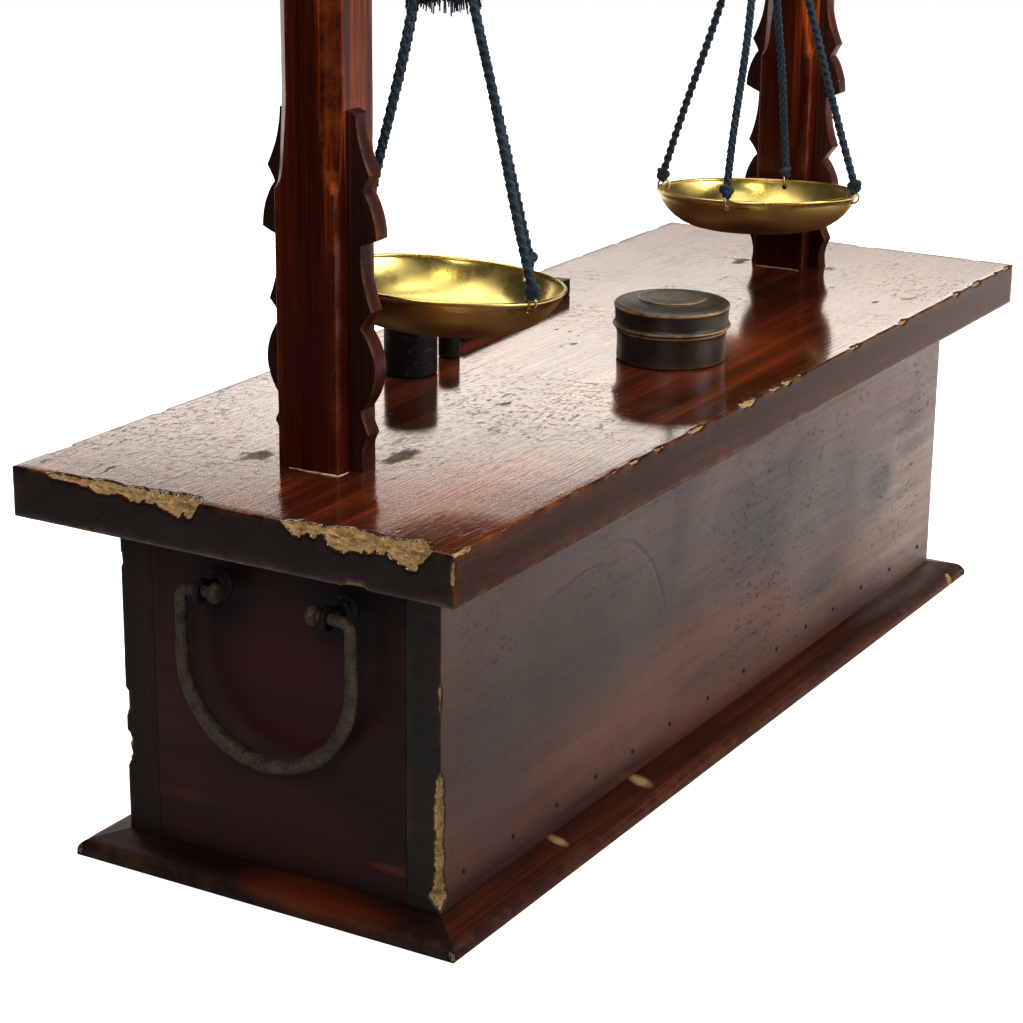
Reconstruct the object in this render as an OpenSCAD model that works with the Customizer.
// Money changer's bench balance: a drawer case with a carved post frame,
// a hung beam and two corded pans. Millimetres, +Z up, floor at z = 0,
// origin under the middle of the case. -Y is the plain back, +Y the drawer side;
// "near" pieces are at -X, "far" pieces at +X.

/* [Case] */
// length of the overhanging top board
board_l = 814; // [780:1:850]
// depth of the overhanging top board
board_d = 295; // [285:1:310]
// thickness of the top board
board_t = 30; // [26:1:34]
// height of the case under the board
case_h = 218; // [205:1:235]
// length of the case
case_l = 720; // [700:1:740]
// depth of the case
case_d = 220; // [212:1:230]
// thickness of the long back board, the front stiles and the top rail
wall_t = 23; // [20:1:25]
// thickness of the end panels
end_t = 26; // [22:1:28]
// height at which the plinth moulding meets the case
plinth_h = 14.4; // [12:0.2:20]
// how far the plinth moulding stands out
plinth_out = 23.5; // [18:0.5:28]

/* [Post frame] */
// middle of the post frame along the board
frame_x = 5; // [0:0.5:8]
// distance from the frame's middle to a post's centre
post_off = 311; // [304:1:318]
// width of a square post
post_w = 40; // [36:1:44]
// height of the cross beam's underside above the board
post_h = 496; // [470:1:510]
// bevel on the two -X corners of each post
post_bevel = 9; // [6:0.5:10]
// height above the board at which the bevel starts
bevel_from = 162; // [140:1:190]
// thickness of the carved wing boards and of the apron
wing_t = 12; // [10:0.5:14]
// overhang of the cross beam past a post's centre
cross_over = 75; // [60:1:80]
// height of the cross beam in the middle
cross_h = 46; // [40:1:50]
// depth of the cross beam
cross_d = 56; // [52:1:64]

/* [Drawers] */
// gap round a drawer front
drawer_gap = 1; // [0.8:0.1:2]
// thickness of a drawer front
drawer_front_t = 18; // [14:1:20]
// thickness of a drawer's sides and back
drawer_side_t = 10; // [8:1:12]
// height of the drawer pull's pivot above the floor
pull_z = 122; // [110:1:135]
// half the distance between a pull's eyes
pull_half = 25; // [22:1:30]

/* [End handles] */
// height of a handle's pivot above the floor
handle_z = 184; // [170:1:188]
// how far the handle sits towards the back
handle_y = 4; // [0:0.5:6]
// pivot distance from the end panel
handle_out = 16; // [15:0.5:20]
// half the width of the handle's bow, bar centre to bar centre
handle_half = 58; // [52:1:62]
// drop from the pivot to the lowest bar centre
handle_drop = 99; // [90:1:104]
// radius of the handle's bar
handle_r = 5; // [4.5:0.1:5.5]

/* [Balance] */
// beam plane, measured from the post line
beam_y = -17; // [-18:0.5:-14]
// half the length of the beam, pivot to end pin
beam_half = 214; // [200:1:215]
// height of the beam pivot above the floor
pivot_z = 622; // [600:1:630]
// tilt of the beam as it stands, near end high
rest_tilt = 2.25; // [0:0.05:3]
// radius of a pan's rim
pan_r = 72.8; // [66:0.2:73]
// depth of a pan
pan_depth = 27; // [22:1:32]
// drop from an end pin to the pan's rim
pan_drop = 292.5; // [280:0.5:300]
// radius of a cord
cord_r = 3; // [2:0.1:3.2]
// turn of the near pan's first cord
near_turn = -104; // [-110:1:-98]
// turn of the far pan's first cord
far_turn = -82; // [-88:1:-76]

/* [Loose pieces] */
// radius of the round box
box_r = 36.1; // [32:0.1:38]
// height of the round box with its lid
box_h = 41.4; // [38:0.2:46]
// radius of the large weight
weight_r = 17.2; // [14:0.2:19]
// height of the large weight
weight_h = 36; // [28:1:40]
// length of the low bar on the drawer side of the board
bar_l = 160; // [130:1:170]
// height of the low bar
bar_h = 12; // [8:1:16]

/* [Hidden] */
$fn = 64;

// signs of X and of Y
near = -1;
far = 1;
back = -1;
front = 1;

lap = 0.01;      // overlap of parts that are joined
cut = 1;         // overshoot of a cutting solid
fit = 0.1;       // gap round tenons and eye stems
pin_fit = 0.05;  // gap round pins

half_l = case_l / 2;
half_d = case_d / 2;
half_post = post_w / 2;
top_z = case_h + board_t;
cross_z = top_z + post_h;
tenon = 24;
tenon_h = 30;

wood_top = [0.36, 0.13, 0.07];
wood_dark = [0.22, 0.08, 0.06];
wood_back = [0.30, 0.14, 0.12];
wood_post = [0.30, 0.07, 0.04];
wood_raw = [0.62, 0.46, 0.30];
iron = [0.20, 0.21, 0.19];
brass = [0.80, 0.62, 0.25];
indigo = [0.09, 0.13, 0.20];
lacquer = [0.13, 0.09, 0.07];

// ---- helpers ----
module box(x0, x1, y0, y1, z0, z1) {
  translate([x0, y0, z0]) cube([x1 - x0, y1 - y0, z1 - z0]);
}
module ycyl(radius, y0, y1) {
  translate([0, y1, 0]) rotate([90, 0, 0]) cylinder(r = radius, h = y1 - y0);
}
module xcyl(radius, x0, x1) {
  translate([x0, 0, 0]) rotate([0, 90, 0]) cylinder(r = radius, h = x1 - x0);
}
// children are drawn at +X or +Y and mirrored when the sign is negative
module side(end) {
  if (end < 0) mirror([1, 0, 0]) children();
  else children();
}
module face(way) mirror([0, way < 0 ? 1 : 0, 0]) children();

function reversed(pts) = [for (i = [len(pts) - 1:-1:0]) pts[i]];
function flipped(pts, x, y) = [for (p = pts) [x * p[0], y * p[1]]];
function turn_x(v, angle) =
  [v[0], v[1] * cos(angle) - v[2] * sin(angle), v[1] * sin(angle) + v[2] * cos(angle)];
function turn_y(v, angle) =
  [v[0] * cos(angle) + v[2] * sin(angle), v[1], -v[0] * sin(angle) + v[2] * cos(angle)];

module rod(from, to, radius) {
  run = to - from;
  length = norm(run);
  translate(from) rotate([0, acos(run[2] / length), atan2(run[1], run[0])])
    cylinder(r = radius, h = length);
}
// bar bent in the YZ plane, from one angle through a sweep
module bend(bend_r, bar_r, start, sweep) {
  rotate([90, 0, 90]) rotate([0, 0, start])
    rotate_extrude(angle = sweep) translate([bend_r, 0]) circle(bar_r);
}
// hanging bail: pivot pins along Y at z = 0 reaching in to y = pin_in, bow below;
// knob is the radius of the pins' end knobs, 0 for none
module bail(half, drop, bar_r, pin_r, pin_in, elbow, knob) {
  bow_z = half - drop;
  for (way = [-1, 1]) face(way) {
    ycyl(pin_r, pin_in - (knob > 0 ? 2 : 0), half - elbow + 0.6);
    translate([0, half - elbow, -elbow]) bend(elbow, bar_r, 0, 90);
    translate([0, half, bow_z]) cylinder(r = bar_r, h = -elbow - bow_z);
    if (knob > 0) ycyl(knob, pin_in - 5, pin_in);
  }
  translate([0, 0, bow_z]) bend(half, bar_r, 180, 180);
}
// eye with plate: shank through the wood, standing out along +Y from y = 0, bore along X
module eye_y(shank, plate_r, stem_r, eye_r, eye_w, out, bore) difference() {
  union() {
    ycyl(stem_r, -shank, out - bore - 0.6);
    ycyl(plate_r, 0, 2);
    translate([0, out, 0]) xcyl(eye_r, -eye_w / 2, eye_w / 2);
  }
  translate([0, out, 0]) xcyl(bore, -eye_w, eye_w);
}

// ---- case ----
rail_h = 22;
floor_t = 16;
floor_z = 6;
div_t = 22;
open_lo = floor_z + floor_t;  // drawer openings
open_hi = case_h - rail_h;
open_x0 = div_t / 2;
open_x1 = half_l - end_t;

handle_eye = handle_half - 15;  // half the distance between a handle's eyes
handle_stem = 4.5;
handle_pin = 3.95;

module top_board() color(wood_top) difference() {
  box(-board_l / 2, board_l / 2, -board_d / 2, board_d / 2, case_h, top_z);
  for (end = [-1, 1]) translate([frame_x + end * post_off, 0, case_h - cut])
    translate([-tenon / 2, -tenon / 2, 0]) cube([tenon, tenon, board_t + 2 * cut]);
}
module end_panel(end) color(wood_dark) side(end) difference() {
  box(open_x1, half_l, -half_d + wall_t, half_d - wall_t, 0, case_h);
  for (way = [-1, 1]) translate([open_x1 - cut, way * handle_eye - handle_y, handle_z])
    xcyl(handle_stem + fit, 0, end_t + 2 * cut);
}
module end_panel_near() end_panel(near);
module end_panel_far() end_panel(far);
module back_board() color(wood_back) box(-half_l, half_l, -half_d, -half_d + wall_t, 0, case_h);
module bottom_board() color(wood_raw)
  box(-open_x1, open_x1, -half_d + wall_t, half_d, floor_z, open_lo);
// the upper part stops behind the top rail
module divider() color(wood_raw) {
  box(-open_x0, open_x0, -half_d + wall_t, half_d, open_lo, open_hi);
  box(-open_x0, open_x0, -half_d + wall_t, half_d - wall_t, open_hi - lap, case_h);
}
module stile(end) color(wood_dark) side(end)
  box(open_x1, half_l, half_d - wall_t, half_d, 0, case_h);
module stile_near() stile(near);
module stile_far() stile(far);
module top_rail() color(wood_dark)
  box(-open_x1, open_x1, half_d - wall_t, half_d, open_hi, case_h);

// moulding section [stand-out, height]: foot, rounded nose, slope up to the case
plinth_pts = [[0, 0], [plinth_out - 1, 0], [plinth_out, 1.2], [plinth_out, 4],
  [plinth_out - 0.9, 6.2], [plinth_out - 2.9, 8.2], [plinth_out - 6, 9.8],
  [plinth_out - 10.5, 11.2], [0, plinth_h]];
// mitred run along X, standing out toward -Y from y = -off
module plinth_run(half, off) color(wood_top) intersection() {
  spare = 40;
  reach = plinth_out + 1;
  translate([-half - spare, -off, 0]) rotate([90, 0, 90]) mirror([1, 0, 0])
    linear_extrude(2 * (half + spare)) polygon(plinth_pts);
  translate([0, 0, -cut]) linear_extrude(plinth_h + 2 * cut)
    polygon([[-half, -off], [half, -off], [half + reach, -off - reach],
      [-half - reach, -off - reach]]);
}
module plinth_back() plinth_run(half_l, half_d);
module plinth_front() rotate([0, 0, 180]) plinth_run(half_l, half_d);
module plinth_near() rotate([0, 0, -90]) plinth_run(half_d, half_l);
module plinth_far() rotate([0, 0, 90]) plinth_run(half_d, half_l);

// ---- post frame ----
module post(end) color(wood_post) translate([frame_x + end * post_off, 0, top_z]) {
  half_tenon = tenon / 2 - fit;
  bevel_side = 1.4142 * post_bevel;  // square whose half diagonal is the bevel
  difference() {
    box(-half_post, half_post, -half_post, half_post, 0, post_h);
    // stopped bevels on the -X corners
    for (way = [-1, 1]) translate([-half_post, way * half_post, bevel_from]) rotate([0, 0, 45])
      translate([-bevel_side / 2, -bevel_side / 2, 0]) cube([bevel_side, bevel_side, post_h]);
  }
  box(-half_tenon, half_tenon, -half_tenon, half_tenon, -board_t, lap);
  box(-half_tenon, half_tenon, -half_tenon, half_tenon, post_h - lap, post_h + tenon_h - 1);
}
module post_near() post(near);
module post_far() post(far);

// carved wing outline: [stand-out from the post, height above the board]
wing_pts = concat(
  [[0, 0], [8.5, 0], [7.2, 10], [12.3, 22], [7.2, 36]],
  [for (i = [1:9]) let (part = i / 10) [7.2 + 9.6 * pow(sin(180 * part), 0.8), 36 + 46.5 * part]],
  [[7.0, 83], [14.6, 93]],
  [for (i = [1:6]) let (part = i / 6) [7.5 + 7.1 * pow(1 - part, 2.2), 93 + 36.5 * part]],
  [[18.2, 134]],
  [for (i = [1:7]) let (part = i / 7) [9.4 + 8.8 * pow(cos(90 * part), 0.75), 134 + 26 * part]],
  [[14.2, 169]],
  [for (i = [1:6]) let (part = i / 6) [5.2 + 9 * pow(1 - part, 1.8), 169 + 33 * part]],
  [[0, 204]]);
module wing(end, way) color(wood_post) translate([frame_x + end * post_off, 0, top_z])
  face(way) translate([-wing_t / 2, half_post, 0]) rotate([90, 0, 90])
    linear_extrude(wing_t) polygon(wing_pts);
module wing_near_back() wing(near, back);
module wing_near_front() wing(near, front);
module wing_far_back() wing(far, back);
module wing_far_front() wing(far, front);

// cross beam: level in the middle, then curving up to undercut ends
cross_half = post_off + cross_over;
cross_flat = 230;    // half the level length
cross_rise = 14;
cross_undercut = 12;
cross_steps = 12;
cross_xs = [for (i = [0:cross_steps]) cross_flat + (cross_half - cross_flat) * i / cross_steps];
function lift(x) = cross_rise * pow(max(0, (x - cross_flat) / (cross_half - cross_flat)), 2);
cross_low = [for (i = [0:cross_steps])
  [cross_xs[i] - (i == cross_steps ? cross_undercut : 0), lift(cross_xs[i])]];
cross_high = [for (x = cross_xs) [x, cross_h + lift(x)]];
module crossbeam() color(wood_post) translate([frame_x, 0, cross_z]) difference() {
  seat_half = half_post + 0.2;
  seat_h = 10;
  translate([0, cross_d / 2, 0]) rotate([90, 0, 0]) linear_extrude(cross_d)
    polygon(concat(flipped(reversed(cross_low), -1, 1), cross_low,
      reversed(cross_high), flipped(cross_high, -1, 1)));
  for (end = [-1, 1]) {
    translate([end * post_off - tenon / 2, -tenon / 2, -cut]) cube([tenon, tenon, tenon_h + cut]);
    // clearance round the post's top, below the level of the shoulder
    translate([end * post_off - seat_half, -seat_half, -seat_h])
      cube([2 * seat_half, 2 * seat_half, seat_h]);
  }
}

// apron between the posts, with a scalloped lower edge that deepens outwards
apron_half = post_off - half_post;
apron_steps = 48;
apron_scallops = 4;  // in each half
function apron_depth(x) =
  20 + 0.085 * abs(x) + 8 * abs(sin(abs(x) * 180 / (apron_half / apron_scallops)));
module apron() color(wood_post) translate([frame_x, wing_t / 2, cross_z]) rotate([90, 0, 0])
  linear_extrude(wing_t) polygon(concat(
    [[-apron_half, 0]],
    [for (i = [0:apron_steps])
      let (x = -apron_half + 2 * apron_half * i / apron_steps) [x, -apron_depth(x)]],
    [[apron_half, 0], [cross_flat, 0], [-cross_flat, 0]]));

// ---- drawers (built on the +X side) ----
drawer_z = open_lo + drawer_gap;
drawer_x0 = open_x0 + drawer_gap;
drawer_x1 = open_x1 - drawer_gap;
drawer_mid = (drawer_x0 + drawer_x1) / 2;
drawer_y0 = -half_d + wall_t + 4;
drawer_y1 = half_d - drawer_front_t;
drawer_top = open_hi - 14;
drawer_floor_t = 8;
side_inset = 1;  // sides stand in from the front's ends
inner_x0 = drawer_x0 + side_inset + drawer_side_t;
inner_x1 = drawer_x1 - side_inset - drawer_side_t;
pull_stem = 3;
pull_pin = 2;
pull_out = 10;

module drawer_front(end) color(wood_dark) side(end) difference() {
  box(drawer_x0, drawer_x1, drawer_y1, half_d, drawer_z, open_hi - drawer_gap);
  for (k = [-1, 1]) translate([drawer_mid + k * pull_half, drawer_y1 - cut, pull_z])
    ycyl(pull_stem + fit, 0, drawer_front_t + 2 * cut);
}
module drawer_sides(end) color(wood_raw) side(end)
  for (x = [drawer_x0 + side_inset, inner_x1])
    box(x, x + drawer_side_t, drawer_y0, drawer_y1, drawer_z, drawer_top);
module drawer_back(end) color(wood_raw) side(end)
  box(inner_x0, inner_x1, drawer_y0, drawer_y0 + drawer_side_t,
    drawer_z + drawer_floor_t, drawer_top);
module drawer_bottom(end) color(wood_raw) side(end)
  box(inner_x0, inner_x1, drawer_y0, drawer_y1, drawer_z, drawer_z + drawer_floor_t);
module drawer_near_front() drawer_front(near);
module drawer_near_sides() drawer_sides(near);
module drawer_near_back() drawer_back(near);
module drawer_near_bottom() drawer_bottom(near);
module drawer_far_front() drawer_front(far);
module drawer_far_sides() drawer_sides(far);
module drawer_far_back() drawer_back(far);
module drawer_far_bottom() drawer_bottom(far);

module pull_eyes(end) color(brass) side(end)
  for (k = [-1, 1]) translate([drawer_mid + k * pull_half, half_d, pull_z])
    eye_y(shank = drawer_front_t, plate_r = 11, stem_r = pull_stem, eye_r = 5, eye_w = 7,
      out = pull_out, bore = pull_pin + pin_fit);
module pull_bail(end) color(brass) side(end)
  translate([drawer_mid, half_d + pull_out, pull_z]) rotate([0, 0, 90])
    bail(half = pull_half + 9, drop = 40, bar_r = 2.6, pin_r = pull_pin,
      pin_in = pull_half - 6, elbow = 5, knob = 0);
module pull_near_eyes() pull_eyes(near);
module pull_near_bail() pull_bail(near);
module pull_far_eyes() pull_eyes(far);
module pull_far_bail() pull_bail(far);

// ---- end handles ----
module handle_eyes(end) color(iron) side(end)
  for (way = [-1, 1]) translate([half_l, way * handle_eye - handle_y, handle_z])
    rotate([0, 0, -90])
      eye_y(shank = end_t, plate_r = 14, stem_r = handle_stem, eye_r = 8.5, eye_w = 10.4,
        out = handle_out, bore = handle_pin + 2 * pin_fit);
module handle_bail(end) color(iron) side(end)
  translate([half_l + handle_out, -handle_y, handle_z])
    bail(half = handle_half, drop = handle_drop, bar_r = handle_r, pin_r = handle_pin,
      pin_in = handle_eye - 9, elbow = 7, knob = 6.5);
module handle_near_eyes() handle_eyes(near);
module handle_near_bail() handle_bail(near);
module handle_far_eyes() handle_eyes(far);
module handle_far_bail() handle_bail(far);

// ---- balance ----
hanger_drop = 15;  // cross beam's underside to the hanger pin
hanger_z = cross_z - hanger_drop;
hanger_pin = 2;
pivot_r = 2.5;
end_pin = 1.5;

module hanger() color(iron) translate([frame_x, beam_y, hanger_z]) {
  plate_z = hanger_drop - 3;
  box(-13, 13, -7, 7, plate_z, hanger_drop);
  for (end = [-1, 1]) side(end) {
    xcyl(6, 5.5, 9.5);
    box(5.5, 9.5, -6, 6, 0, plate_z + lap);
  }
  xcyl(hanger_pin, -11, 11);
}
// cheek plate in the XZ plane, with a window above the pivot hole
module stirrup_plate() rotate([90, 0, 0]) translate([0, 0, -1.5]) linear_extrude(3) difference() {
  union() {
    circle(12);
    polygon([[-12, 0], [12, 0], [17, 22], [17, 83], [-17, 83], [-17, 22]]);
  }
  circle(pivot_r + pin_fit);
  polygon([[-6, 16], [6, 16], [10, 28], [10, 74], [-10, 74], [-10, 28]]);
}
module stirrup() color(brass) translate([frame_x, beam_y, pivot_z]) {
  bridge_z = 90;
  eye_z = hanger_z - pivot_z;
  for (y = [-6, 6]) translate([0, y, 0]) stirrup_plate();
  box(-17, 17, -7.5, 7.5, bridge_z - 8, bridge_z);
  difference() {
    union() {
      box(-5, 5, -4, 4, bridge_z - lap, eye_z);
      translate([0, 0, eye_z]) xcyl(6, -5, 5);
    }
    translate([0, 0, eye_z]) xcyl(hanger_pin + pin_fit, -6, 6);
  }
}
module fixed_needle() color(iron) translate([frame_x, beam_y, pivot_z + 50])
  cylinder(r1 = 0.4, r2 = 3, h = 32);

module at_beam() translate([frame_x, beam_y, pivot_z]) rotate([0, rest_tilt, 0]) children();
// upper edge of the beam's far arm: [distance from the pivot, half height]
beam_arm = [[9, 8], [16, 6.5], [150, 3.2], [beam_half, 2]];
module beam() color(brass) at_beam() {
  difference() {
    rotate([90, 0, 0]) translate([0, 0, -2.5]) linear_extrude(5) union() {
      polygon(concat(flipped(reversed(beam_arm), -1, -1), flipped(beam_arm, 1, -1),
        reversed(beam_arm), flipped(beam_arm, -1, 1)));
      for (end = [-1, 1]) translate([end * beam_half, 0]) circle(4.2);
    }
    ycyl(pivot_r, -4, 4);
  }
  for (end = [-1, 1]) translate([end * beam_half, 0, 0]) ycyl(end_pin, -6.5, 6.5);
}
module beam_pivot() color(iron) at_beam() ycyl(pivot_r, -9, 9);
module beam_needle() color(iron) at_beam() translate([0, 0, 8])
  cylinder(r1 = 2.4, r2 = 0.4, h = 37);

// ---- pans and what they hang from, measured down from the beam's end pins ----
shackle_drop = 26;
apex_drop = 76;  // where the four cords meet
// tip of each pan about X, then about Y
near_tip = [2.7, 4.15];
far_tip = [-1.65, 3.65];

module at_end(end)
  translate([frame_x + end * beam_half * cos(rest_tilt), beam_y,
    pivot_z - end * beam_half * sin(rest_tilt)]) children();
// fork over the end pin with an eye below
module link(end) color(brass) at_end(end) difference() {
  union() {
    for (way = [-1, 1]) face(way) {
      ycyl(5, 3.2, 5.4);
      box(-4.5, 4.5, 3.2, 5.4, -17, 0);
    }
    box(-4.5, 4.5, -5.4, 5.4, -19, -15);
    box(-4, 4, -3, 3, -shackle_drop, -18);
    translate([0, 0, -shackle_drop]) xcyl(4.5, -4, 4);
  }
  ycyl(end_pin + pin_fit, -6, 6);
  translate([0, 0, -shackle_drop]) xcyl(end_pin + pin_fit, -5, 5);
}
module shackle(end) color(brass) at_end(end) translate([0, 0, -shackle_drop]) {
  for (k = [-1, 1]) side(k) {
    xcyl(4.5, 4.6, 6.6);
    box(4.6, 6.6, -4, 4, -13, 0);
  }
  translate([0, 0, -15]) cylinder(r = 8, h = 3);
  xcyl(end_pin, -8, 8);
}
// bound head and an open skirt that hangs outside the cords: [radius, z]
tassel_pts = [[0, -42], [8, -42], [9, -50], [10.5, -66], [13, -74],
  [27.5, -138], [26, -138], [11, -73], [0, -69]];
module tassel(end) color(indigo) at_end(end) rotate_extrude() polygon(tassel_pts);
// four cords from the apex to knots above the pan's rim
module cords(end, turn, tip) color(indigo) at_end(end) {
  knot_ring = pan_r - 1;
  knot_z = 10.2;
  translate([0, 0, -apex_drop]) sphere(5.5);
  for (i = [0:3]) {
    angle = turn + 90 * i;
    level = [knot_ring * cos(angle), knot_ring * sin(angle), knot_z];
    knot = [0, 0, -pan_drop] + turn_y(turn_x(level, tip[0]), tip[1]);
    rod([0, 0, -apex_drop], knot, cord_r);
    translate(knot) sphere(4.6);
  }
}
module at_pan(end, turn, tip) at_end(end)
  translate([0, 0, -pan_drop]) rotate([tip[0], tip[1], 0]) rotate([0, 0, turn]) children();
// pan section: [outer radius, z of the underside, height of the inside above it]
pan_pts = [
  [0, -pan_depth, 1.6],
  [0.45 * pan_r, -pan_depth + 0.4, 1.6],
  [0.6 * pan_r, -pan_depth + 1.6, 1.6],
  [0.74 * pan_r, -0.82 * pan_depth, 1.6],
  [0.84 * pan_r, -0.62 * pan_depth, 1.6],
  [0.92 * pan_r, -0.38 * pan_depth, 0.8],
  [0.97 * pan_r, -0.14 * pan_depth, 0.8],
  [pan_r, 0, 0]];
pan_wall = 1.9;
module pan(end, turn, tip) color(brass) at_pan(end, turn, tip) difference() {
  rotate_extrude($fn = 96) union() {
    polygon(concat([for (p = pan_pts) [p[0], p[1]]],
      [for (p = reversed(pan_pts)) [max(0, p[0] - pan_wall), p[1] + p[2]]]));
    translate([pan_r - 1.2, 0]) circle(1.5, $fn = 24);
  }
  // ring holes
  for (i = [0:3]) rotate([0, 0, 90 * i]) translate([pan_r - 9, 0, -4.1]) xcyl(2.2, 0, 14);
}
module pan_rings(end, turn, tip) color(iron) at_pan(end, turn, tip)
  for (i = [0:3]) rotate([0, 0, 90 * i]) translate([pan_r - 1.3, 0, 0.4]) rotate([90, 0, 0])
    rotate_extrude() translate([4.3, 0]) circle(0.8, $fn = 24);
module link_near() link(near);
module shackle_near() shackle(near);
module tassel_near() tassel(near);
module cords_near() cords(near, near_turn, near_tip);
module pan_near() pan(near, near_turn, near_tip);
module pan_rings_near() pan_rings(near, near_turn, near_tip);
module link_far() link(far);
module shackle_far() shackle(far);
module tassel_far() tassel(far);
module cords_far() cords(far, far_turn, far_tip);
module pan_far() pan(far, far_turn, far_tip);
module pan_rings_far() pan_rings(far, far_turn, far_tip);

// ---- loose pieces on the board ----
box_place = [11.6, -56, top_z];
// box sections: [radius, height]
body_pts = [[0, 0], [box_r - 1.2, 0], [box_r, 1.2], [box_r, 22], [box_r - 2.4, 22],
  [box_r - 2.4, 30], [box_r - 4.4, 30], [box_r - 4.4, 4], [0, 4]];
lid_pts = [[0, box_h - 8], [box_r - 2.1, box_h - 8], [box_r - 2.1, 22.1], [box_r + 2, 22.1],
  [box_r + 2.6, 23.4], [box_r + 1.8, 24.8], [box_r + 1.3, 26], [box_r + 1.5, box_h - 6.4],
  [box_r + 2, box_h - 5.2], [box_r + 1.6, box_h - 4], [box_r - 1, box_h - 2.6],
  [0.68 * box_r, box_h - 1.4], [0.62 * box_r, box_h - 1.8], [0.62 * box_r, box_h], [0, box_h]];
module box_body() color(lacquer) translate(box_place) rotate_extrude($fn = 96) polygon(body_pts);
module box_lid() color(lacquer) translate(box_place) rotate_extrude($fn = 96) polygon(lid_pts);

module weight(x, y, radius, height) color(iron) translate([x, y, top_z]) rotate_extrude()
  polygon([[0, 0], [radius - 0.8, 0], [radius, 0.8], [radius, height - 1.2],
    [radius - 1.2, height], [0.55 * radius, height], [0.5 * radius, height - 0.8],
    [0, height - 0.8]]);
module weight_large() weight(-112.9, 67.8, weight_r, weight_h);
module weight_small() weight(-65.2, 68.5, 7.1, 22);
// low bar lying along the board, its upper edges eased
module dark_bar() color(lacquer) translate([-27, 86, top_z]) rotate([0, 0, 3])
  rotate([90, 0, 90]) linear_extrude(bar_l)
    polygon([[-6, 0], [6, 0], [6, bar_h - 1], [5, bar_h], [-5, bar_h], [-6, bar_h - 1]]);

top_board();
end_panel_near();
end_panel_far();
back_board();
bottom_board();
divider();
stile_near();
stile_far();
top_rail();
plinth_back();
plinth_front();
plinth_near();
plinth_far();
post_near();
post_far();
wing_near_back();
wing_near_front();
wing_far_back();
wing_far_front();
crossbeam();
apron();
drawer_near_front();
drawer_near_sides();
drawer_near_back();
drawer_near_bottom();
drawer_far_front();
drawer_far_sides();
drawer_far_back();
drawer_far_bottom();
pull_near_eyes();
pull_near_bail();
pull_far_eyes();
pull_far_bail();
handle_near_eyes();
handle_near_bail();
handle_far_eyes();
handle_far_bail();
hanger();
stirrup();
fixed_needle();
beam();
beam_pivot();
beam_needle();
link_near();
shackle_near();
tassel_near();
cords_near();
pan_near();
pan_rings_near();
link_far();
shackle_far();
tassel_far();
cords_far();
pan_far();
pan_rings_far();
box_body();
box_lid();
weight_large();
weight_small();
dark_bar();
